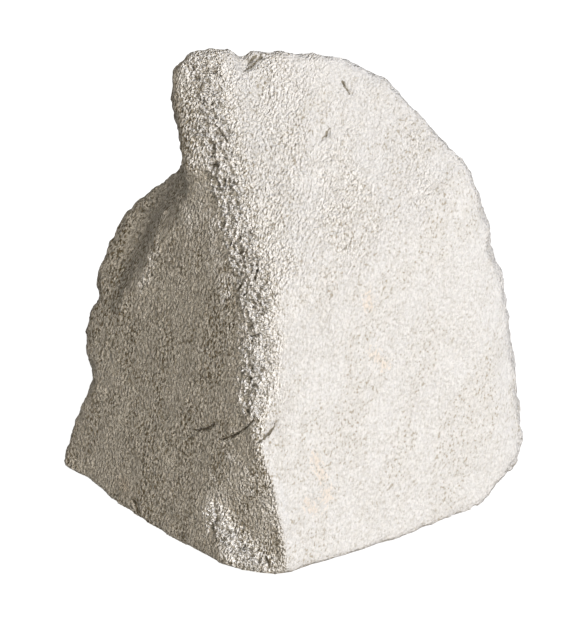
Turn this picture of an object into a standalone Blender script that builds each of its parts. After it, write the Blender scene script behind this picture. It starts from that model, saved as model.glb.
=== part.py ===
"""A broken lump of massive gypsum, modelled as one solid that stands on a small flat spot.

Three blocks are cut from cubes, facet by facet, and joined. A voxel remesh and a smooth wear their edges
round, flat chips and scoops are taken out, noise roughens the faces, and a plane cuts the resting spot flat.
Lengths are in metres. Points are written in millimetres.
"""

import math

import bmesh
import bpy
from mathutils import Euler, Matrix, Vector, noise

MM = 0.001
NAME = "gypsum_fragment"

# The visible faces lean back, so they are drawn on a board that leans by this much:
# across to the right, behind it, and up the board.
BOARD_LEAN = math.radians(30)
BOARD = Matrix.Rotation(-BOARD_LEAN, 4, "X")

# A facet is (frame, point on it, outward direction), each as (across, behind, up).
BACK = [
    ("world", (0, 91, 40), (0.05, 1, 0.1)),  # back
    ("world", (0, 84, 90), (0, 0.86, 0.5)),  # back, upper part
    ("world", (-49, 72, 40), (-0.8, 0.6, 0.05)),  # back, left corner
    ("world", (45, 76, 45), (0.75, 0.65, 0.1)),  # back, right corner
]
BODY = BACK + [
    ("board", (-15, 0, 20), (-1.03, -1, 0)),  # left face
    ("board", (-7.4, -8, 34), (0.52, -1, -0.12)),  # right face, lower part
    ("board", (5, -7.9, 62), (0.36, -1, 0.1)),  # right face, middle
    ("board", (30, 3.5, 70.7), (0.26, -1, 0.22)),  # right face, bend below its upper part
    ("board", (-7.4, -8, 58), (0.15, -1, 0.343)),  # right face, upper part
    ("board", (-7.4, -5.8, 58), (-0.45, -1, 0.172)),  # worn ridge, right half
    ("board", (-11.1, -3.4, 58), (-0.72, -1, 0.1)),  # worn ridge, left half
    ("board", (-9.6, -5.7, 38), (0.2, -1, 0.017)),  # right face, beside the ridge
    ("board", (47, 18, 50), (1.15, -1, 0)),  # right edge, bevel
    ("board", (56.8, 27, 36), (1, 0.3, 0.1)),  # right edge, four steps up to the shoulder
    ("board", (51.6, 27, 66), (0.96, 0.25, 0.21)),
    ("board", (45.3, 20, 90), (0.92, 0.2, 0.36)),
    ("board", (35, 14, 108), (0.75, 0.2, 0.66)),
    ("board", (20, 12, 123.2), (0.47, 0.25, 0.88)),  # top, right slope
    ("board", (0, 14, 127), (0, 0.35, 1)),  # top
    ("board", (-34.5, 20, 78), (-0.905, -0.2, 0.43)),  # step above the left hollow
    ("board", (-56, 38, 34), (-0.95, 0.35, 0.42)),  # left edge
    ("board", (-52.5, 33.2, 12.4), (-0.5, 0.25, -0.836)),  # left foot
    ("board", (-12, 0, 0), (-0.14, 0.3, -1)),  # front foot, left half
    ("board", (1.7, 0.6, 0.2), (0.172, 0.236, -1.02)),  # front foot, right half
    ("board", (46.4, 22, 15.2), (0.75, 0.396, -0.887)),  # right foot
    ("world", (0, 66, -1), (0, 0.24, -1)),  # underside, rising to the back
    ("world", (-34, 50, -1.2), (-0.035, 0.05, -1)),  # underside, rising to the left
    ("world", (28, 50, -1), (0.12, -0.02, -1)),  # underside, rising to the right
    ("world", (0, 60, -5), (0, 0, -1)),  # lowest level of the underside
]
SHOULDER = BACK + [
    ("board", (-15, 0.4, 20), (-1.03, -1, 0)),  # continues the left face
    ("board", (-41, 28.7, 61), (-0.89, -1, 0.28)),  # slope left of the step
    ("board", (-50.8, 38, 57), (-0.98, 0.3, 0.14)),  # outer edge, four steps up
    ("board", (-48.2, 40, 76), (-0.94, 0.3, 0.34)),
    ("board", (-41.3, 40, 84), (-0.865, 0.25, 0.5)),
    ("board", (-32, 36, 93), (-0.55, 0.2, 0.83)),
    ("board", (-15, 40, 60), (1, 0, 0)),  # inside the body
    ("world", (-30, 60, 12), (-0.3, 0, -1)),  # inside the body, low
]
LOBE = BACK + [
    ("board", (-17, 4.9, 101.3), (0.17, -1, 0.343)),  # continues the right face
    ("board", (-18.5, 5.4, 101.3), (-0.35, -1, 0.2)),  # front
    ("board", (-25.4, 7.8, 101.3), (-1.25, -1, 0.05)),  # narrow left strip
    ("board", (-30.8, 14, 112), (-1, 0.3, 0)),  # outer edge, three steps
    ("board", (-28.9, 14, 122.2), (-0.8, 0.3, 0.55)),
    ("board", (-27.7, 12, 100), (-0.96, 0.3, -0.25)),
    ("board", (-18, 14, 127), (-0.05, 0.35, 1)),  # top
    ("board", (-26.2, 14, 125.4), (-0.5, 0.3, 0.86)),  # top corner
    ("board", (-20, 10, 95), (0, -0.35, -1)),  # overhang
    ("board", (8, 10, 110), (1, 0, 0)),  # inside the body
]

WEATHERING_VOXEL = 1.4 * MM
WEATHERING_ROUNDS = 4
SOFT_RIDGE_ROUNDS = 9
FRESH_VOXEL = 1.0 * MM
FRESH_ROUNDS = 2

# Roughness of the faces: height, size of one lump, seed offset.
LUMPS = [(1.0 * MM, 34 * MM, 3.0), (0.4 * MM, 12 * MM, 11.0), (0.25 * MM, 5 * MM, 23.0)]
TRIANGLES = 9000
SOLE_HEIGHT = -1.0 * MM
SHORTEST_EDGE = 0.2 * MM


def spot(frame, point):
    """A point of either frame, in metres in the stone's own frame."""
    across, behind, up = point
    here = Vector((across, behind, up)) * MM
    return BOARD @ here if frame == "board" else here


def heading(frame, direction):
    turned = Vector(direction).normalized()
    return BOARD.to_3x3() @ turned if frame == "board" else turned


def clear_scene():
    for obj in list(bpy.data.objects):
        bpy.data.objects.remove(obj)


def collection(name):
    made = bpy.data.collections.new(name)
    bpy.context.scene.collection.children.link(made)
    return made


def hide(obj):
    obj.hide_render = True
    obj.display_type = "WIRE"
    return obj


def slice_off(bm, point, direction):
    """Cuts away what lies beyond a plane and closes the cut."""
    everything = bm.verts[:] + bm.edges[:] + bm.faces[:]
    cut = bmesh.ops.bisect_plane(bm, geom=everything, plane_co=point, plane_no=direction, clear_outer=True)
    rim = [e for e in cut["geom_cut"] if isinstance(e, bmesh.types.BMEdge)]
    bmesh.ops.contextual_create(bm, geom=rim)


def keep(bm, name, home):
    bmesh.ops.recalc_face_normals(bm, faces=bm.faces)
    mesh = bpy.data.meshes.new(name)
    bm.to_mesh(mesh)
    bm.free()
    obj = bpy.data.objects.new(name, mesh)
    home.objects.link(obj)
    return obj


def block(name, facets, home):
    """A cube cut down facet by facet."""
    bm = bmesh.new()
    bmesh.ops.create_cube(bm, size=0.5)
    for frame, point, direction in facets:
        slice_off(bm, spot(frame, point), heading(frame, direction))
    return keep(bm, name, home)


def scoop(name, home, frame, centre, radii, turn=(0, 0, 0), ledges=()):
    """An ellipsoid that takes a shell-like chip. Past each ledge (point, direction) nothing is taken."""
    bm = bmesh.new()
    bmesh.ops.create_icosphere(bm, subdivisions=5, radius=1.0)
    rotation = Euler([math.radians(a) for a in turn]).to_matrix().to_4x4()
    size = Matrix.Diagonal((*[r * MM for r in radii], 1.0))
    lean = BOARD if frame == "board" else Matrix.Identity(4)
    bm.transform(Matrix.Translation(spot(frame, centre)) @ lean @ rotation @ size)
    for point, direction in ledges:
        slice_off(bm, spot("board", point), heading("board", direction))
    return hide(keep(bm, name, home))


# The chip at the foot of the ridge is two flat breaks under one ledge, and a toe was left below them.
LEDGE = ("board", (-9.6, -5.7, 36.5), (-0.976, -0.35, 1))
TOE = ("board", (-12.7, 3.0, 10.1), (0.1, 1, -0.27))
FLAT_CHIPS = {
    "ridge_chip_high": [("board", (-19.5, 4.74, 24), (0.894, 1, 0)), LEDGE, TOE],
    "ridge_chip_low": [("board", (-6, -6.1, 24.2), (0.662, 1, 0.354)), LEDGE, TOE],
}
# name: frame, centre, radii, turn, ledges
CHIPS = {
    "hollow_behind_step": ("board", (-38.5, 18, 80), (9, 18, 20), (0, 25, 0),
                           [((-34.5, 20, 78), (0.905, 0.2, -0.43))]),
    "notch_under_lobe": ("board", (-30, 34, 99), (3.5, 30, 3.4)),
    "left_bay": ("board", (-60.8, 40, 46.5), (12, 30, 9)),
    "left_upper_bay": ("board", (-57, 44, 66.5), (10.2, 30, 6)),
    "right_upper_bay": ("board", (42, 12, 118), (12, 30, 9)),
    "right_middle_bay": ("board", (61.4, 22, 79), (14.5, 30, 10)),
    "right_lower_bay": ("board", (73, 36, 48), (19, 30, 11)),
    "top_nick": ("board", (-11.6, 6, 127.6), (2.2, 14, 3.0)),
    "back_high": ("world", (22, 128, 66), (44, 40, 30)),
    "back_low": ("world", (-6, 124, 24), (34, 36, 24)),
    "back_left": ("world", (-66, 104, 34), (30, 32, 26)),
    "right_flank": ("world", (92, 62, 34), (38, 30, 26)),
}


def settled(obj):
    """Replaces the object's mesh by what its modifiers make of it."""
    graph = bpy.context.evaluated_depsgraph_get()
    mesh = bpy.data.meshes.new_from_object(obj.evaluated_get(graph))
    obj.modifiers.clear()
    obj.data = mesh
    return obj


def regrid(obj, voxel):
    grid = obj.modifiers.new("grid", "REMESH")
    grid.mode = "VOXEL"
    grid.voxel_size = voxel


def smooth_where(obj, rounds, wanted):
    bm = bmesh.new()
    bm.from_mesh(obj.data)
    soft = [v for v in bm.verts if wanted(v.co)]
    for _ in range(rounds):
        bmesh.ops.smooth_vert(bm, verts=soft, factor=0.5, use_axis_x=True, use_axis_y=True, use_axis_z=True)
    bm.to_mesh(obj.data)
    bm.free()


def above_the_foot(point):
    """The edge along the ground was never worn."""
    return point.z > 5 * MM


def near_soft_ridge(point):
    """The upper ridge and the creases of the broad face are worn rounder than the rest."""
    p = BOARD.inverted() @ point / MM
    return p.z > 38 and -16 < p.x < 60 and p.y < 30


def roughened(obj, lumps):
    """Moves each point along its normal by smooth noise."""
    bm = bmesh.new()
    bm.from_mesh(obj.data)
    bm.normal_update()
    moves = []
    for v in bm.verts:
        rise = 0.0
        for height, size, seed in lumps:
            rise += height * noise.noise(v.co / size + Vector((seed, 0.0, -seed)))
        moves.append(v.normal * rise)
    for v, move in zip(bm.verts, moves):
        v.co += move
    bm.to_mesh(obj.data)
    bm.free()


def thinned(obj, triangles):
    """Collapses edges until about this many triangles are left."""
    count = sum(len(p.vertices) - 2 for p in obj.data.polygons)
    thin = obj.modifiers.new("thin", "DECIMATE")
    thin.ratio = triangles / count
    thin.use_collapse_triangulate = True
    settled(obj)


def seated(obj):
    """Cuts the resting spot flat and stands the stone on it, centred over the origin."""
    bm = bmesh.new()
    bm.from_mesh(obj.data)
    everything = bm.verts[:] + bm.edges[:] + bm.faces[:]
    cut = bmesh.ops.bisect_plane(
        bm, geom=everything, plane_co=(0, 0, SOLE_HEIGHT), plane_no=(0, 0, -1), clear_outer=True)
    rim = [e for e in cut["geom_cut"] if isinstance(e, bmesh.types.BMEdge)]
    bmesh.ops.triangle_fill(bm, use_beauty=True, edges=rim)
    bmesh.ops.dissolve_degenerate(bm, dist=SHORTEST_EDGE, edges=bm.edges[:])
    for v in bm.verts:
        if v.co.z < SOLE_HEIGHT + SHORTEST_EDGE:
            v.co.z = SOLE_HEIGHT
    bmesh.ops.triangulate(bm, faces=bm.faces[:])
    low = Vector([min(v.co[i] for v in bm.verts) for i in range(3)])
    high = Vector([max(v.co[i] for v in bm.verts) for i in range(3)])
    shift = Vector((-(low.x + high.x) / 2, -(low.y + high.y) / 2, -SOLE_HEIGHT))
    bmesh.ops.translate(bm, vec=shift, verts=bm.verts[:])
    bmesh.ops.recalc_face_normals(bm, faces=bm.faces)
    bm.to_mesh(obj.data)
    bm.free()
    return shift


def gypsum():
    material = bpy.data.materials.new("gypsum")
    material.use_nodes = True
    surface = material.node_tree.nodes["Principled BSDF"]
    surface.inputs["Base Color"].default_value = (0.8, 0.77, 0.72, 1.0)
    surface.inputs["Roughness"].default_value = 0.9
    return material


def build():
    clear_scene()
    stone_home = collection("gypsum fragment")
    helpers = collection("blocks")
    chips_home = collection("chips")
    body = block(NAME, BODY, stone_home)
    shoulder = hide(block("shoulder_block", SHOULDER, helpers))
    lobe = hide(block("lobe_block", LOBE, helpers))
    for other in (shoulder, lobe):
        join = body.modifiers.new("join " + other.name, "BOOLEAN")
        join.operation = "UNION"
        join.object = other
    regrid(body, WEATHERING_VOXEL)
    settled(body)
    smooth_where(body, WEATHERING_ROUNDS, above_the_foot)
    smooth_where(body, SOFT_RIDGE_ROUNDS, near_soft_ridge)
    for name, facets in FLAT_CHIPS.items():
        hide(block(name, facets, chips_home))
    for name, chip in CHIPS.items():
        scoop(name, chips_home, *chip)
    cut = body.modifiers.new("chips", "BOOLEAN")
    cut.operation = "DIFFERENCE"
    cut.operand_type = "COLLECTION"
    cut.collection = chips_home
    regrid(body, FRESH_VOXEL)
    settled(body)
    smooth_where(body, FRESH_ROUNDS, lambda p: True)
    roughened(body, LUMPS)
    thinned(body, TRIANGLES)
    shift = seated(body)
    body.data.materials.append(gypsum())
    return body, shift


stone, BOARD_ORIGIN = build()
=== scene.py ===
# %% [markdown]
# # A broken lump of massive gypsum
# The stone is one solid that was modelled earlier, with under ten thousand triangles: enough for its
# fracture faces, its ridge and its chips, and far too few for its grain. This lesson dresses it. It makes a
# finer copy of the stone, roughens that copy with a Geometry Nodes tree, and gives it a gypsum material,
# soft studio light and a camera.

# %% Load the stone
import math

import bmesh
import bpy
from mathutils import Matrix, Vector
from mathutils.geometry import intersect_point_line


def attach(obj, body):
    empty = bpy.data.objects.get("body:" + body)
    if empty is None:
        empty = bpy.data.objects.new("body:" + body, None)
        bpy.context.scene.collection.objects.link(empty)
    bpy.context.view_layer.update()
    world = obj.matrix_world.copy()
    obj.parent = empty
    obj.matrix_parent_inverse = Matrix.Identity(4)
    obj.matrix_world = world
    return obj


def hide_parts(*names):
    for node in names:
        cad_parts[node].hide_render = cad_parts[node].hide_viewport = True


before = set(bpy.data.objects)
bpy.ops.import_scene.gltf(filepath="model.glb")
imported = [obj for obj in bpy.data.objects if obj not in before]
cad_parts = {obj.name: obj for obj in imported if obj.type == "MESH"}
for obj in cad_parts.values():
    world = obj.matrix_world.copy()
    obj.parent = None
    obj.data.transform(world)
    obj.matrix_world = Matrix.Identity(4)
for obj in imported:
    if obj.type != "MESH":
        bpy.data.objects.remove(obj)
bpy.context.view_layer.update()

# %% [markdown]
# The two large faces lean back by about 30 degrees. It helps to think of a drawing board that leans with
# them and faces the camera: a place on the stone is then given as millimetres across to the right and up
# the board, and what lies deeper is behind it. The board's own origin sits at the stone's foot.

# %% The leaning board
MM = 0.001
LEAN = math.radians(30)
BOARD = Matrix.Rotation(-LEAN, 4, "X")
BOARD_ORIGIN = Vector((0.281, -47.709, 1.0)) * MM
RIGHT_AXIS = BOARD.to_3x3() @ Vector((1, 0, 0))
BEHIND_AXIS = BOARD.to_3x3() @ Vector((0, 1, 0))
UP_AXIS = BOARD.to_3x3() @ Vector((0, 0, 1))


def on_board(across, up):
    """A place on the leaning board, in metres in the stone's own frame."""
    return BOARD_ORIGIN + BOARD @ Vector((across, 0, up)) * MM


print("board origin:", on_board(0, 0))
for axis_name, axis in (("right", RIGHT_AXIS), ("behind", BEHIND_AXIS), ("up", UP_AXIS)):
    print(axis_name, [round(part, 3) for part in axis])

# %% [markdown]
# A long lens from two metres away keeps the stone's edges almost parallel, as in a catalogue picture. The
# lens follows from the height of the board that the frame should take in. The camera is aimed by the pixel
# where the board's origin, at the stone's foot, should show, counted from the frame's top left corner.

# %% Camera
MM_PER_PIXEL = 0.24
FRAME_WIDE, FRAME_HIGH = 575, 625
ORIGIN_COLUMN, ORIGIN_ROW = 293, 572
SENSOR = 36
DISTANCE = 2.0
TOWARDS_CAMERA = BOARD.to_3x3() @ Vector((0, -1, 0))
aim_across = (FRAME_WIDE / 2 - ORIGIN_COLUMN) * MM_PER_PIXEL
aim_up = (ORIGIN_ROW - FRAME_HIGH / 2) * MM_PER_PIXEL

camera_data = bpy.data.cameras.new("camera")
camera_data.sensor_width = SENSOR
camera_data.lens = SENSOR * DISTANCE / (FRAME_HIGH * MM_PER_PIXEL * MM)
camera = bpy.data.objects.new("camera", camera_data)
camera.location = on_board(aim_across, aim_up) + TOWARDS_CAMERA * DISTANCE
camera.rotation_euler = TOWARDS_CAMERA.to_track_quat("Z", "Y").to_euler()
bpy.context.scene.collection.objects.link(camera)
bpy.context.scene.camera = camera
print("lens, mm:", round(camera_data.lens))

# %% [markdown]
# The main lamp stands to the right, about 30 degrees off square to the broad face, and only just misses the
# left one. So the broad face is bright and even, every grain of the worn ridge throws light and shade, and
# the left face has only the warm fill. The fill looks as wide as a window from close by, so its shadow
# beside the step fades out slowly. Area lamps would do as well, but only the direction and the apparent
# size of the light matter here, and a sun lamp takes just those two.

# %% Light
LAMPS = {
    "key": {"side": 45, "up": 20, "strength": 2.5, "spread": 4, "colour": (0.95, 1.0, 1.11)},
    "fill": {"side": 22, "up": -3, "strength": 2.2, "spread": 58, "colour": (1.0, 0.895, 0.735)},
}
ROOM_COLOUR = (1.0, 0.90, 0.75, 1.0)
ROOM_STRENGTH = 0.22


def lamp(name, side, up, strength, spread, colour):
    """A sun lamp; side and up are its degrees to the right of the board's front and above it."""
    side, up = math.radians(side), math.radians(up)
    towards = Vector((math.sin(side) * math.cos(up), -math.cos(side) * math.cos(up), math.sin(up)))
    data = bpy.data.lights.new(name, "SUN")
    data.energy = strength
    data.angle = math.radians(spread)
    data.color = colour
    made = bpy.data.objects.new(name, data)
    made.rotation_euler = (BOARD.to_3x3() @ towards).to_track_quat("Z", "Y").to_euler()
    bpy.context.scene.collection.objects.link(made)


for lamp_name, settings in LAMPS.items():
    lamp(lamp_name, **settings)
room = bpy.data.worlds.new("room")
room.use_nodes = True
background = room.node_tree.nodes["Background"]
background.inputs["Color"].default_value = ROOM_COLOUR
background.inputs["Strength"].default_value = ROOM_STRENGTH
bpy.context.scene.world = room
bpy.context.scene.view_settings.view_transform = "Standard"
print("lamps:", [light.name for light in bpy.data.lights])

# %% [markdown]
# A node tree is easier to read as arithmetic. This small class wraps one socket and turns Python's
# operators into Math nodes, in a shader tree and in a Geometry Nodes tree alike.

# %% Sockets as numbers


class Val:
    """One output socket, with arithmetic that adds Math nodes to its tree."""

    def __init__(self, graph, socket):
        self.graph = graph
        self.socket = socket

    def __add__(self, other):
        return self.graph.math("ADD", self, other)

    def __radd__(self, other):
        return self.graph.math("ADD", self, other)

    def __sub__(self, other):
        return self.graph.math("SUBTRACT", self, other)

    def __rsub__(self, other):
        return self.graph.math("SUBTRACT", other, self)

    def __mul__(self, other):
        return self.graph.math("MULTIPLY", self, other)

    def __rmul__(self, other):
        return self.graph.math("MULTIPLY", self, other)

    def __truediv__(self, other):
        return self.graph.math("DIVIDE", self, other)

    def __rtruediv__(self, other):
        return self.graph.math("DIVIDE", other, self)

    def below(self, other):
        return self.graph.math("MINIMUM", self, other)

    def above(self, other):
        return self.graph.math("MAXIMUM", self, other)

    def size(self):
        return self.graph.math("ABSOLUTE", self)


print("a socket also has:", [name for name in vars(Val) if not name.startswith("_")])

# %% [markdown]
# The tree itself gets one method that makes any node: its settings first, then the values or links of its
# sockets. The patterns that broken stone needs are built on it: soft noise for lumps and clouds, packed
# cells for grains, and a ramp that turns a distance or a slope into a mask.

# %% Trees as calls
GRAIN_SHIFT = (7.3, 3.1, 5.7)


class Graph:
    """A node tree that is built by calls: settings first, then the values or links of the sockets."""

    def __init__(self, tree):
        self.tree = tree

    def node(self, kind, settings=None, inputs=(), output=0):
        made = self.tree.nodes.new(kind)
        for name, value in (settings or {}).items():
            setattr(made, name, value)
        pairs = inputs.items() if isinstance(inputs, dict) else enumerate(inputs)
        for place, value in pairs:
            if isinstance(value, Val):
                self.tree.links.new(value.socket, made.inputs[place])
            elif value is not None:
                made.inputs[place].default_value = value
        return Val(self, made.outputs[output]) if made.outputs else None

    def math(self, operation, *inputs):
        return self.node("ShaderNodeMath", {"operation": operation}, inputs)

    def vector(self, operation, *inputs, output=0):
        return self.node("ShaderNodeVectorMath", {"operation": operation}, inputs, output)

    def dot(self, value, axis):
        """How far a vector reaches along an axis."""
        return self.vector("DOT_PRODUCT", value, tuple(axis), output=1)

    def scaled(self, value, times):
        return self.vector("SCALE", value, None, None, times)

    def flat_vector(self, across, up):
        return self.node("ShaderNodeCombineXYZ", None, {"X": across, "Y": up, "Z": 0.0})

    def noise(self, place, size, detail, roughness, seed):
        """Smooth noise from about -1 to 1, with lumps of this size in millimetres."""
        place = self.scaled(place, (1 / MM) / size)
        settings = {"normalize": False, "noise_dimensions": "4D"}
        values = {"Vector": place, "W": seed, "Scale": 1.0, "Detail": detail, "Roughness": roughness}
        return self.node("ShaderNodeTexNoise", settings, values)

    def grains(self, place, size, seed):
        """Packed round grains of this size in millimetres: 0 on their tops and lower towards the seams."""
        place = self.scaled(place, (1 / MM) / size)
        moved = self.vector("ADD", place, tuple(seed * part for part in GRAIN_SHIFT))
        away = self.node("ShaderNodeTexVoronoi", None, {"Vector": moved, "Scale": 1.0})
        return 0 - away * away

    def ramp(self, value, start, end):
        """0 up to the start, 1 from the end on, and smooth between them. The end may be the lower one."""
        settings = {"interpolation_type": "SMOOTHSTEP", "clamp": True}
        values = {"Value": value, "From Min": start, "From Max": end}
        return self.node("ShaderNodeMapRange", settings, values)


print("a tree has:", [name for name in vars(Graph) if not name.startswith("_")])

# %% [markdown]
# Several features run along lines: the worn ridge and the crisp one below it, the rim of the step, the toe
# of the chip, and the cracks. Each is a chain of points on the board, as millimetres across and up. They
# could be painted on the mesh or drawn as curves, but a painted line is tied to one mesh, and these have to
# serve a mesh, a Geometry Nodes tree and a material alike.

# %% Lines on the board
SOFT_RIDGE = [(-22.3, 120.5), (-19.9, 115.7), (-19.7, 106.1), (-17.0, 101.3), (-18.7, 97.7), (-14.6, 89.3),
              (-12.7, 77.3), (-10.3, 67.7), (-8.0, 58.1), (-9.6, 48.5), (-10.6, 41.3)]
CRISP_RIDGE = [(-9.6, 36.0), (-9.2, 32.5), (-7.9, 30.2), (-6.0, 24.2), (-3.6, 17.0), (-2.4, 11.0),
               (-1.7, 1.0)]
STEP_RIM = [(-25.7, 97.9), (-27.8, 93.8), (-30.0, 89.3), (-33.1, 83.3), (-34.3, 77.3), (-36.5, 70.3),
            (-42.0, 63.6)]
TOE = [(-19.5, 13.8), (-16.0, 8.5), (-12.5, 4.5), (-9.0, 1.5)]
LEDGE_CRACK = [(-9.4, 36.6), (-11.5, 34.6), (-14.4, 32.6), (-17.5, 31.7)]
CRACKS = [
    LEDGE_CRACK,
    [(-18.7, 35.8), (-21.0, 34.2), (-23.8, 33.8)],
    [(-8.0, 31.4), (-5.8, 33.4), (-4.7, 35.0), (-4.1, 36.3)],
    [(-38.7, 16.8), (-38.0, 15.4), (-37.8, 13.6)],
    [(-13.2, 67.6), (-12.4, 68.8)],
    [(-9.2, 70.4), (-8.6, 72.5)],
    [(-18.0, 106.6), (-15.6, 103.2)],
    [(7.0, 103.7), (8.9, 106.8)],
    [(12.0, 118.0), (13.7, 115.2)],
    [(-11.8, 120.6), (-9.4, 122.2), (-6.9, 124.9)],
    [(-10.8, 122.8), (-8.6, 124.6)],
    [(-6.6, 3.4), (-5.5, 1.0)],
]


def pieces_of(*chains):
    """The straight pieces of these chains, as pairs of points."""
    return [piece for chain in chains for piece in zip(chain, chain[1:])]


ridges = {"worn ridge": SOFT_RIDGE, "crisp ridge": CRISP_RIDGE, "rim of the step": STEP_RIM, "toe": TOE}
for ridge_name, ridge in ridges.items():
    print(ridge_name, "mm:", round(sum(math.dist(start, end) for start, end in pieces_of(ridge))))
print("cracks:", len(CRACKS))

# %% [markdown]
# A few nodes measure the distance from any place to the nearest of some chains. The tree and the material
# use this same helper and the same chains, so that a crack is darkened where it is cut, give or take half a
# millimetre of wavering.

# %% Distance to a line


def board_place(graph, place):
    """A place in metres as (across, up, 0) in millimetres on the board, flattened onto it."""
    moved = graph.vector("SUBTRACT", place, tuple(BOARD_ORIGIN))
    return graph.flat_vector(graph.dot(moved, RIGHT_AXIS / MM), graph.dot(moved, UP_AXIS / MM))


def distance_to(graph, flat, *chains):
    """The distance in millimetres from a flattened place to the nearest of these chains."""
    nearest = None
    for start, end in pieces_of(*chains):
        along = Vector((end[0] - start[0], end[1] - start[1], 0))
        offset = graph.vector("SUBTRACT", flat, (start[0], start[1], 0))
        share = graph.dot(offset, along / along.length_squared)
        share = graph.node("ShaderNodeClamp", None, {"Value": share})
        foot = graph.scaled(tuple(along), share)
        away = graph.vector("LENGTH", graph.vector("SUBTRACT", offset, foot), output=1)
        nearest = away if nearest is None else nearest.below(away)
    return nearest


print("pieces of crack to measure to:", len(pieces_of(*CRACKS)))

# %% [markdown]
# The loaded solid is made of loose triangles two or three millimetres long. A copy of it is merged into one
# closed skin first, because every step that follows works along the skin from one triangle to the next.

# %% A closed skin
CORE = "gypsum_fragment"
WELD = 0.002 * MM


def merged_copy(node_name, name):
    """A copy of a solid with its loose triangles joined into one closed skin."""
    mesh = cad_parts[node_name].data.copy()
    mesh.name = name
    skin = bmesh.new()
    skin.from_mesh(mesh)
    bmesh.ops.remove_doubles(skin, verts=skin.verts, dist=WELD)
    skin.to_mesh(mesh)
    skin.free()
    copy = bpy.data.objects.new(name, mesh)
    bpy.context.scene.collection.objects.link(copy)
    return copy


def applied(thing):
    """The object's mesh with its modifiers worked out."""
    drawn = thing.evaluated_get(bpy.context.evaluated_depsgraph_get())
    return bpy.data.meshes.new_from_object(drawn)


stone = merged_copy(CORE, "gypsum_stone")
print("corners in the skin:", len(stone.data.vertices))

# %% [markdown]
# The surface work is finest along the ridges, the toe, the step and the ledge, and there the net has to be
# finer too. A test on each corner picks those strips, and leaves out the far side of the stone, where the
# same lines would fall on nothing.

# %% Where the net is finest
FINE_REACH = 5.0
FINE_CHAINS = (SOFT_RIDGE, CRISP_RIDGE, STEP_RIM, TOE, LEDGE_CRACK)
FINE_PIECES = [(Vector(start), Vector(end)) for start, end in pieces_of(*FINE_CHAINS)]


def near_a_line(corner):
    """True close to one of the fine pieces, on the side that faces the front."""
    if corner.normal.dot(BEHIND_AXIS) > 0:
        return False
    moved = (corner.co - BOARD_ORIGIN) / MM
    spot = Vector((moved.dot(RIGHT_AXIS), moved.dot(UP_AXIS)))
    for start, end in FINE_PIECES:
        share = intersect_point_line(spot, start, end)[1]
        foot = start.lerp(end, min(max(share, 0), 1))
        if (spot - foot).length < FINE_REACH:
            return True
    return False


print("fine strips, mm each side:", FINE_REACH, "along", len(FINE_PIECES), "pieces")

# %% [markdown]
# Grains of a millimetre need a net of about that size. Subdivision would keep the uneven triangles of the
# solid, while a voxel Remesh gives an even net. That net is then split once more in the fine strips.
# Splitting it everywhere would make the mesh four times heavier for nothing.

# %% A fine net
NET = 0.8 * MM


def split_where(skin, wanted):
    """Halve every edge whose two ends are both wanted."""
    chosen = {corner for corner in skin.verts if wanted(corner)}
    edges = [edge for edge in skin.edges if edge.verts[0] in chosen and edge.verts[1] in chosen]
    bmesh.ops.subdivide_edges(skin, edges=edges, cuts=1, use_grid_fill=True)
    skin.normal_update()


net = stone.modifiers.new("net", "REMESH")
net.mode = "VOXEL"
net.voxel_size = NET
netted = applied(stone)
stone.modifiers.clear()
skin = bmesh.new()
skin.from_mesh(netted)
split_where(skin, near_a_line)
bmesh.ops.triangulate(skin, faces=skin.faces)
skin.to_mesh(netted)
skin.free()
stone.data = netted
print("triangles in the net:", len(netted.polygons))

# %% [markdown]
# Massive gypsum breaks like lump sugar: the surface follows the fracture in the large and the grains in the
# small. It could be sculpted by hand, but a Geometry Nodes tree suits it better, because the same rule runs
# everywhere and only its strength changes with the place. Its sizes, in millimetres, and its seed are named
# inputs.

# %% The inputs of the rule
RELIEF_INPUTS = {
    "Lump Height": 0.75,
    "Lump Size": 3.4,
    "Grain Height": 0.22,
    "Grain Size": 1.3,
    "Ledge Height": 2.1,
    "Ledge Size": 2.2,
    "Crest Height": 0.6,
    "Crest Reach": 2.2,
    "Pit Depth": 0.35,
    "Crack Depth": 0.6,
    "Crack Width": 0.5,
    "Notch Depth": 1.5,
    "Seed": 4.0,
}


def rule_with_inputs():
    """A Geometry Nodes tree that has its named inputs and its output, and nothing between them yet."""
    tree = bpy.data.node_groups.new("broken gypsum surface", "GeometryNodeTree")
    tree.interface.new_socket("Geometry", in_out="INPUT", socket_type="NodeSocketGeometry")
    tree.interface.new_socket("Material", in_out="INPUT", socket_type="NodeSocketMaterial")
    for name, value in RELIEF_INPUTS.items():
        socket = tree.interface.new_socket(name, in_out="INPUT", socket_type="NodeSocketFloat")
        socket.default_value = value
    tree.interface.new_socket("Geometry", in_out="OUTPUT", socket_type="NodeSocketGeometry")
    return tree


surface_rule = rule_with_inputs()
print("inputs of the rule:", len(RELIEF_INPUTS))

# %% [markdown]
# The stone isn't equally rough everywhere. The worn ridge and the toe are crumbled, the broad lit face is
# smooth, and most of all far from the top of the ridge. So the rule first works out masks from 0 to 1, from
# the way a face looks and from its distance to the lines. Ragged noise keeps their borders from being even.

# %% Where the surface changes
FRONT_FACING = (0.0, 0.14)
BROAD_FACING = (0.35, 0.62)
LIT_FACING = (-0.15, 0.2)
RIDGE_BAND = (1.2, 5.4)
BESIDE_RIDGE = (2.0, 7.0)
BESIDE_TOP = (5.0, 34.0)
TOE_BAND = (1.0, 3.5)
RAGGED_REACH = 2.4
CALM_NEAR_TOP = 0.25
TOP_OF_RIDGE = SOFT_RIDGE[:6]


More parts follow.
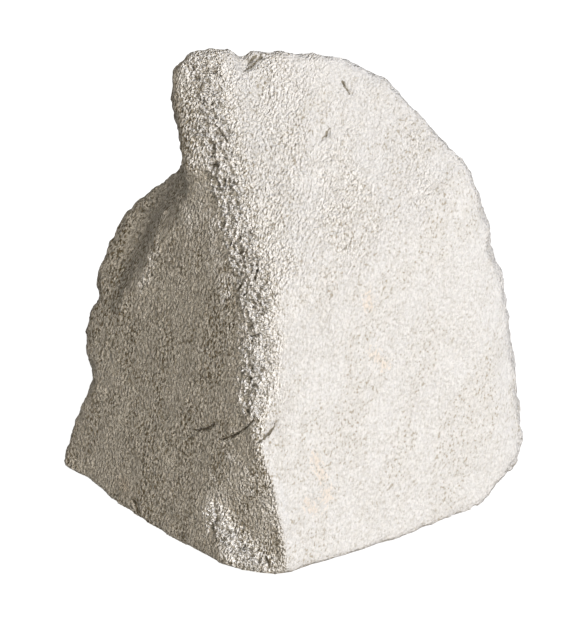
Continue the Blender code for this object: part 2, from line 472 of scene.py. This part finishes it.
def masks(graph, here, seed):
    """Where the stone faces the front, is broad, crumbled, lit from the right, and calm."""
    place, flat, facing = here["place"], here["flat"], here["facing"]
    towards_front = graph.dot(facing, -BEHIND_AXIS)
    front = graph.ramp(towards_front, *FRONT_FACING)
    broad = graph.ramp(towards_front, *BROAD_FACING)
    ragged = graph.noise(place, size=5.0, detail=2.0, roughness=0.6, seed=seed + 23) * RAGGED_REACH
    from_ridge = distance_to(graph, flat, SOFT_RIDGE) + ragged
    ridge = 1 - graph.ramp(from_ridge, *RIDGE_BAND)
    toe = 1 - graph.ramp(distance_to(graph, flat, TOE), *TOE_BAND)
    rough = ridge.above(toe) * front
    lit = graph.ramp(graph.dot(facing, RIGHT_AXIS), *LIT_FACING) * graph.ramp(from_ridge, *BESIDE_RIDGE)
    beside_top = graph.ramp(distance_to(graph, flat, TOP_OF_RIDGE), *BESIDE_TOP)
    calm = lit * broad * (CALM_NEAR_TOP + (1 - CALM_NEAR_TOP) * beside_top)
    return {"front": front, "broad": broad, "rough": rough, "lit": lit, "calm": calm}


print("points at the top of the ridge:", len(TOP_OF_RIDGE))

# %% [markdown]
# The height at each place is a sum: lumps and grains, ledges that break the crumbled ridge, pits, cracks, a
# low crest that keeps the crisp edges sharp, and the small notch in the top edge. Grains and ledges only
# cut in by themselves, so they are lifted first: then they stand out as well, and the stone keeps its size.
# All of it fades out just above the sole, which has to stay flat.

# %% How high the surface rises
NOTCH = [(-12.6, 125.6), (-11.6, 122.6)]
NOTCH_REACH = (0.2, 2.6)
GRAIN_LIFT = 0.25
LEDGE_LIFT = 0.3
SMOOTHER_WHERE_BROAD = 0.75
GRAIN_EVERYWHERE = 0.3
PIT_NOISE = (0.45, 0.75)
CRACK_WANDER = 0.35
CRACK_WALL = (0.2, 1.0)
SOLE_GUARD = (0.3 * MM, 2.5 * MM)


def surface_height(graph, given, here, where):
    """The height of the relief in millimetres, which is below 0 where the surface is cut in."""
    place, flat, seed = here["place"], here["flat"], given["Seed"]
    front, rough = where["front"], where["rough"]
    lumps = graph.noise(place, size=given["Lump Size"], detail=2.0, roughness=0.5, seed=seed)
    grains = graph.grains(place, size=given["Grain Size"], seed=3.0) + GRAIN_LIFT
    ledges = graph.noise(place, size=given["Ledge Size"], detail=3.0, roughness=0.62, seed=seed + 7).size()
    pits = graph.ramp(graph.noise(place, size=1.3, detail=0.0, roughness=0.5, seed=seed + 11), *PIT_NOISE)
    wander = graph.noise(place, size=2.0, detail=1.0, roughness=0.5, seed=seed + 17) * CRACK_WANDER
    from_crack = (distance_to(graph, flat, *CRACKS) + wander) / given["Crack Width"]
    crack = (1 - graph.ramp(from_crack, *CRACK_WALL)) * front
    crest = (1 - here["from crisp edge"] / given["Crest Reach"]).above(0) * front
    notch = 1 - graph.ramp(distance_to(graph, flat, NOTCH), *NOTCH_REACH)
    coarse = (1 - SMOOTHER_WHERE_BROAD * where["broad"]).above(rough)
    height = lumps * given["Lump Height"] * coarse
    height = height + grains * given["Grain Height"] * (coarse + GRAIN_EVERYWHERE)
    height = height - (ledges - LEDGE_LIFT) * given["Ledge Height"] * rough - pits * given["Pit Depth"]
    height = height - crack * given["Crack Depth"] + crest * given["Crest Height"]
    height = height - notch * given["Notch Depth"]
    return height * graph.ramp(here["above the sole"], *SOLE_GUARD)


print("notch in the top edge, mm:", round((Vector(NOTCH[1]) - Vector(NOTCH[0])).length, 1))

# %% [markdown]
# The solid's flat triangles must not show, so they are softened first, apart from the crisp edges and the
# sole. At the very end the shading is broken wherever the skin bends sharply, because smooth shading alone
# would make broken stone look like wax.

# %% Softened and shaded
CRISP_EDGE = (0.4, 2.4)
SOFT_ABOVE_SOLE = (3.0 * MM, 8.0 * MM)
SOFTEN_ROUNDS = 6
BREAK_ANGLE = math.radians(38)


def softened(graph, given, here):
    """The mesh with the edges between its flat triangles blurred away."""
    softness = graph.ramp(here["from crisp edge"], *CRISP_EDGE)
    softness = softness * graph.ramp(here["above the sole"], *SOFT_ABOVE_SOLE)
    values = {"Value": here["place"], "Iterations": SOFTEN_ROUNDS, "Weight": softness}
    soft_place = graph.node("GeometryNodeBlurAttribute", {"data_type": "FLOAT_VECTOR"}, values)
    values = {"Geometry": given["Geometry"], "Position": soft_place}
    return graph.node("GeometryNodeSetPosition", None, values)


def shaded(graph, mesh):
    """The mesh with smooth shading that breaks at its sharp bends."""
    smooth = graph.node("GeometryNodeSetShadeSmooth", None, {"Geometry": mesh})
    bend = graph.node("GeometryNodeInputMeshEdgeAngle")
    broken = graph.node("FunctionNodeCompare", {"operation": "GREATER_THAN"}, [bend, BREAK_ANGLE])
    values = {"Geometry": smooth, "Selection": broken, "Shade Smooth": False}
    return graph.node("GeometryNodeSetShadeSmooth", {"domain": "EDGE"}, values)


print("the shading breaks at degrees:", round(math.degrees(BREAK_ANGLE)))

# %% [markdown]
# The whole rule softens the mesh, moves each corner along its own normal by the height, and shades the
# result. The height and the masks stay on the mesh as attributes, so that the material can follow the
# relief without working everything out again.

# %% The whole rule
KEPT_MASKS = ("front", "rough", "lit", "calm")


def fill_rule(tree):
    """Everything between the tree's inputs and its output."""
    graph = Graph(tree)
    group_input = graph.node("NodeGroupInput").socket.node
    given = {socket.name: Val(graph, socket) for socket in group_input.outputs if socket.name}
    place = graph.node("GeometryNodeInputPosition")
    flat = board_place(graph, place)
    here = {
        "place": place,
        "flat": flat,
        "facing": graph.node("GeometryNodeInputNormal"),
        "from crisp edge": distance_to(graph, flat, CRISP_RIDGE, STEP_RIM),
        "above the sole": graph.node("ShaderNodeSeparateXYZ", None, [place], "Z"),
    }
    where = masks(graph, here, given["Seed"])
    height = surface_height(graph, given, here, where)
    mesh = softened(graph, given, here)
    kept = {"height": height}
    kept.update((name, where[name]) for name in KEPT_MASKS)
    for name, value in kept.items():
        mesh = graph.node("GeometryNodeStoreNamedAttribute", {"data_type": "FLOAT", "domain": "POINT"},
                          {"Geometry": mesh, "Name": name, "Value": value})
    shift = graph.scaled(here["facing"], height * MM)
    mesh = graph.node("GeometryNodeSetPosition", None, {"Geometry": mesh, "Offset": shift})
    mesh = shaded(graph, mesh)
    mesh = graph.node("GeometryNodeSetMaterial", None, {"Geometry": mesh, "Material": given["Material"]})
    mesh = graph.node("GeometryNodeRealizeInstances", None, {"Geometry": mesh})
    graph.node("NodeGroupOutput", None, [mesh])


fill_rule(surface_rule)
print("nodes in the rule:", len(surface_rule.nodes))

# %% [markdown]
# The fracture has drawn grain and clay into faint streaks that lean to the right. A pattern is drawn out
# along them by reading it at a place that moves on more slowly that way. And a crack made of straight
# pieces would look ruled, so the place that it is measured from is pushed about a little.

# %% Streaks and crooked lines
STREAK_LEAN = math.radians(28)
STREAK_AXIS = RIGHT_AXIS * math.sin(STREAK_LEAN) + UP_AXIS * math.cos(STREAK_LEAN)
WAVER = 0.5


def drawn_out(graph, place, times):
    """The place to read a pattern at, so that it comes out this many times longer along the streaks."""
    along = graph.dot(place, STREAK_AXIS)
    extra = graph.scaled(tuple(STREAK_AXIS), along * (1 - 1 / times))
    return graph.vector("SUBTRACT", place, extra)


def wavering(graph, flat, place):
    """A flattened place that is pushed about a little, so that a chain comes out as a natural crack."""
    push_right = graph.noise(place, size=1.2, detail=2.0, roughness=0.6, seed=21.0) * WAVER
    push_up = graph.noise(place, size=1.2, detail=2.0, roughness=0.6, seed=22.0) * WAVER
    return graph.vector("ADD", flat, graph.flat_vector(push_right, push_up))


def mixed(graph, factor, first, second):
    """One colour turning into another. A Mix node has its two colours at 6 and 7, and its result at 2."""
    return graph.node("ShaderNodeMix", {"data_type": "RGBA"}, {0: factor, 6: first, 7: second}, 2)


print("streaks lean, degrees:", round(math.degrees(STREAK_LEAN)))

# %% [markdown]
# Massive gypsum is a matt, chalky white. It carries a little clay, so some patches are greyer and small
# olive specks gather in bands, while fresh grains are almost pure white. A single noise would look like
# printed marble, so wide patches, thin streaks and single specks are mixed, each at its own size. The
# smooth face that takes most of the lamp gets a duller chalk, which is painted shade, and fewer specks, or
# it would burn out.

# %% Colours of the stone
CHALK = (0.83, 0.80, 0.755, 1)
LAMP_DIMMED_CHALK = (0.56, 0.557, 0.558, 1)
BRIGHT = (1.0, 0.98, 0.95, 1)
OLIVE = (0.30, 0.26, 0.19, 1)
STREAK_STRETCH = 3.0
PATCH_NOISE = (-0.3, 0.35)
PATCH_IN_CLAY = 0.6
CLAY_NOISE = (-0.2, 1.1)
CLAY_SHARE, CLAY_LESS_LIT = 0.28, 0.12
FRESH_SHARE = 0.9
LAMP_DIMMED_SHARE = 0.95


def chalk_and_clay(graph, place, seen):
    """The wide changes of colour, with painted shade on the face turned to the lamp, and the mask of the
    greyer patches.
    """
    rough, lit, calm = seen["rough"], seen["lit"], seen["calm"]
    long_place = drawn_out(graph, place, STREAK_STRETCH)
    patches = graph.noise(long_place, size=9, detail=3.0, roughness=0.6, seed=1.0)
    patches = graph.ramp(patches, *PATCH_NOISE)
    streaks = graph.noise(long_place, size=1.6, detail=3.0, roughness=0.6, seed=2.0)
    colour = mixed(graph, rough * FRESH_SHARE, CHALK, BRIGHT)
    # Painted shade: the face turned to the lamp gets the duller chalk, so that the lamp doesn't burn it
    # out.
    colour = mixed(graph, calm.above(lit * LAMP_DIMMED_SHARE), colour, LAMP_DIMMED_CHALK)
    clay = graph.ramp(streaks + patches * PATCH_IN_CLAY, *CLAY_NOISE) * (CLAY_SHARE - CLAY_LESS_LIT * lit)
    return mixed(graph, clay, colour, OLIVE), patches


print("chalk:", CHALK[:3], "lamp-dimmed chalk:", LAMP_DIMMED_CHALK[:3])

# %% [markdown]
# The specks are the finest thing that the eye still tells apart. One noise makes both kinds: its peaks are
# olive dots, and its dips are bright grains with painted glints, strongest away from the lit face. Where
# the relief goes in, dust and painted shade make it a little darker, most of all between the ledges of the
# worn ridge.

# %% Specks and hollows
SPECK_NOISE = (0.13, 0.26)
RARER_LIT = 0.19
SPECKS_OUTSIDE = 0.35
FAINTER_LIT, FAINTER_ROUGH = 0.3, 0.5
GLINT_NOISE = (0.0, -0.20)
GLINT_LESS_LIT = 0.85
HOLLOW_HEIGHT = (-0.15, -0.7)
HOLLOW_SHADE_SHARE, HOLLOW_SHADE_MORE_ROUGH = 0.15, 0.4


def specked(graph, grain_place, seen, patches, colour):
    """The colour with its specks, glints and painted shade in the hollows, the noise of the specks, and the
    mask of the olive dots.
    """
    rough, lit = seen["rough"], seen["lit"]
    speckle = graph.noise(grain_place, size=0.58, detail=1.0, roughness=0.6, seed=3.0)
    start, end = (level + RARER_LIT * lit for level in SPECK_NOISE)
    dots = graph.ramp(speckle, start, end) * (SPECKS_OUTSIDE + (1 - SPECKS_OUTSIDE) * patches)
    colour = mixed(graph, dots * (1.0 - FAINTER_LIT * lit - FAINTER_ROUGH * rough), colour, OLIVE)
    # Bright grains with painted glints, mostly away from the lit face.
    glints = graph.ramp(speckle, *GLINT_NOISE) * (1 - GLINT_LESS_LIT * lit)
    colour = mixed(graph, glints, colour, BRIGHT)
    # Painted shade, with a little dust, where the relief goes in.
    hollow_shade = graph.ramp(seen["height"], *HOLLOW_HEIGHT)
    colour = mixed(graph, hollow_shade * (HOLLOW_SHADE_SHARE + HOLLOW_SHADE_MORE_ROUGH * rough), colour, OLIVE)
    return colour, speckle, dots


print("olive specks start at a noise of", SPECK_NOISE[0])

# %% [markdown]
# The cracks are darkened with dirt and painted shade, and a few spots are stained with iron. Both follow
# chains, as the cut cracks do. The stains are broken up by the same specks as the stone, so that they look
# soaked in and not painted.

# %% Cracks and stains
CRACK_SHADE = (0.17, 0.15, 0.11, 1)
CRACK_LINE = (0.14, 0.32)
CRACK_BREAKS = 0.2
CRACK_SHARE = 0.9
OCHRE = (0.72, 0.50, 0.29, 1)
OCHRE_STAINS = [[(18.2, 66.3), (17.8, 63.8)], [(19.4, 52.4), (22.2, 49.6)], [(-41.2, 21.4), (-40.6, 19.6)],
                [(5.2, 27.4), (7.0, 22.6)], [(8.6, 19.6), (7.8, 17.2)], [(3.6, 16.6), (4.6, 14.8)]]
UMBER = (0.42, 0.33, 0.24, 1)
UMBER_STAINS = [[(-16.8, 36.0), (-15.6, 34.8)], [(-5.8, 54.6), (-5.4, 54.0)]]
STAINS = [(OCHRE_STAINS, 1.5, OCHRE), (UMBER_STAINS, 1.2, UMBER)]
STAIN_SPREAD = 2.5
STAIN_SHARE, STAIN_MORE_DOTS = 0.2, 0.6


def lined(graph, place, flat, front, speckle, dots, colour):
    """The colour with the dirt and painted shade of the cracks, and the stains on it."""
    wavy = wavering(graph, flat, place)
    breaks = graph.noise(place, size=2.2, detail=2.0, roughness=0.6, seed=8.0) * CRACK_BREAKS
    line = (1 - graph.ramp(distance_to(graph, wavy, *CRACKS) + breaks, *CRACK_LINE)) * front
    # Dirt and painted shade along the cracks.
    colour = mixed(graph, line * CRACK_SHARE, colour, CRACK_SHADE)
    for chains, reach, tint in STAINS:
        away = distance_to(graph, wavy, *chains) + speckle * STAIN_SPREAD
        stain = (1 - graph.ramp(away, 0.0, reach)) * front
        colour = mixed(graph, stain * (STAIN_SHARE + STAIN_MORE_DOTS * dots), colour, tint)
    return colour


print("stains:", sum(len(chains) for chains, reach, tint in STAINS))

# %% [markdown]
# The grain that is too fine for the net goes into a Bump node: it turns the shading as if the grains stood
# out, and costs no triangles. Two sizes of packed grains and a soft noise are added up, strongest on the
# crumbled ridge and faint on the smooth lit face.

# %% Grain in the shading
BUMP_HEIGHT = 0.75 * MM
FINE_PART, SOFT_PART = 0.75, 1.25
COARSE_PART, COARSE_MORE_ROUGH = 0.10, 0.9
GRAIN_PART, GRAIN_MORE_ROUGH, GRAIN_LESS_LIT, GRAIN_LESS_CALM = 1.05, 0.15, 0.65, 0.24


def grain_bump(graph, grain_place, seen):
    """The normals of the fine grain."""
    rough, lit, calm = seen["rough"], seen["lit"], seen["calm"]
    fine = graph.grains(grain_place, size=0.68, seed=5.0)
    coarse = graph.grains(grain_place, size=1.1, seed=6.0)
    soft = graph.noise(grain_place, size=0.56, detail=1.0, roughness=0.6, seed=7.0)
    grain = fine * FINE_PART + coarse * (COARSE_PART + COARSE_MORE_ROUGH * rough) + soft * SOFT_PART
    grain = grain * (GRAIN_PART + GRAIN_MORE_ROUGH * rough - GRAIN_LESS_LIT * lit - GRAIN_LESS_CALM * calm)
    return graph.node("ShaderNodeBump", None, {"Strength": 1.0, "Distance": BUMP_HEIGHT, "Height": grain})


print("bump height, mm:", BUMP_HEIGHT / MM)

# %% [markdown]
# The finish puts these together on one Principled shader. It reads its place from the object's own
# coordinates, in metres, and the masks from the mesh. Roughness and the specular level are the same all
# over, because every part of the stone is equally matt.

# %% Gypsum finish
GRAIN_STRETCH = 1.5
MATT = 0.95
SPECULAR = 0.25


def gypsum_finish():
    """The material of the stone."""
    material = bpy.data.materials.new("gypsum")
    material.use_nodes = True
    shader = material.node_tree.nodes["Principled BSDF"]
    shader.inputs["Roughness"].default_value = MATT
    shader.inputs["Specular IOR Level"].default_value = SPECULAR
    graph = Graph(material.node_tree)
    place = graph.node("ShaderNodeTexCoord", output="Object")
    flat = board_place(graph, place)
    seen = {name: graph.node("ShaderNodeAttribute", {"attribute_name": name}, output="Fac")
            for name in ("height", *KEPT_MASKS)}
    grain_place = drawn_out(graph, place, GRAIN_STRETCH)
    colour, patches = chalk_and_clay(graph, place, seen)
    colour, speckle, dots = specked(graph, grain_place, seen, patches, colour)
    colour = lined(graph, place, flat, seen["front"], speckle, dots, colour)
    bump = grain_bump(graph, grain_place, seen)
    material.node_tree.links.new(colour.socket, shader.inputs["Base Color"])
    material.node_tree.links.new(bump.socket, shader.inputs["Normal"])
    return material


gypsum = gypsum_finish()
print("finish:", gypsum.name, "with", len(gypsum.node_tree.nodes), "nodes")

# %% [markdown]
# The rule is now run on the fine copy. The tree's inputs are set by their identifiers, then the evaluated
# stone is turned into a plain mesh and its modifiers go.

# %% The dressed stone
relief = stone.modifiers.new("relief", "NODES")
relief.node_group = surface_rule
for socket in surface_rule.interface.items_tree:
    if socket.in_out == "INPUT" and socket.name in RELIEF_INPUTS:
        relief[socket.identifier] = RELIEF_INPUTS[socket.name]
    elif socket.in_out == "INPUT" and socket.name == "Material":
        relief[socket.identifier] = gypsum

plain = applied(stone)
stone.modifiers.clear()
stone.data = plain
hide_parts(CORE)
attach(stone, "root")
triangles = sum(len(polygon.vertices) - 2 for polygon in plain.polygons)
print("triangles:", triangles)

# %% [markdown]
# A pale sheet lies under the stone. A lit sheet of paper would show the stone's shadow and turn grey
# towards its edges. This one glows like a light table, so it is an even white with no shadow, as in a
# catalogue picture. It is kept from lighting the stone, because that would brighten the underside.

# %% The pale floor
FLOOR_RADIUS = 12.0
FLOOR_CORNERS = 96
FLOOR_GLOW = 1.0
PAPER = (0.16, 0.16, 0.16, 1)
PAPER_LIGHT = (1.0, 1.0, 1.0, 1)

bpy.ops.mesh.primitive_circle_add(vertices=FLOOR_CORNERS, radius=FLOOR_RADIUS, fill_type="NGON")
floor = bpy.context.object
floor.name = "floor"
paper = bpy.data.materials.new("paper")
paper.use_nodes = True
paper_shader = paper.node_tree.nodes["Principled BSDF"]
paper_shader.inputs["Base Color"].default_value = PAPER
paper_shader.inputs["Roughness"].default_value = 1.0
paper_shader.inputs["Specular IOR Level"].default_value = 0.0
paper_shader.inputs["Emission Color"].default_value = PAPER_LIGHT
paper_shader.inputs["Emission Strength"].default_value = FLOOR_GLOW
floor.data.materials.append(paper)
floor.visible_diffuse = False
print("floor radius, m:", FLOOR_RADIUS)

# %% [markdown]
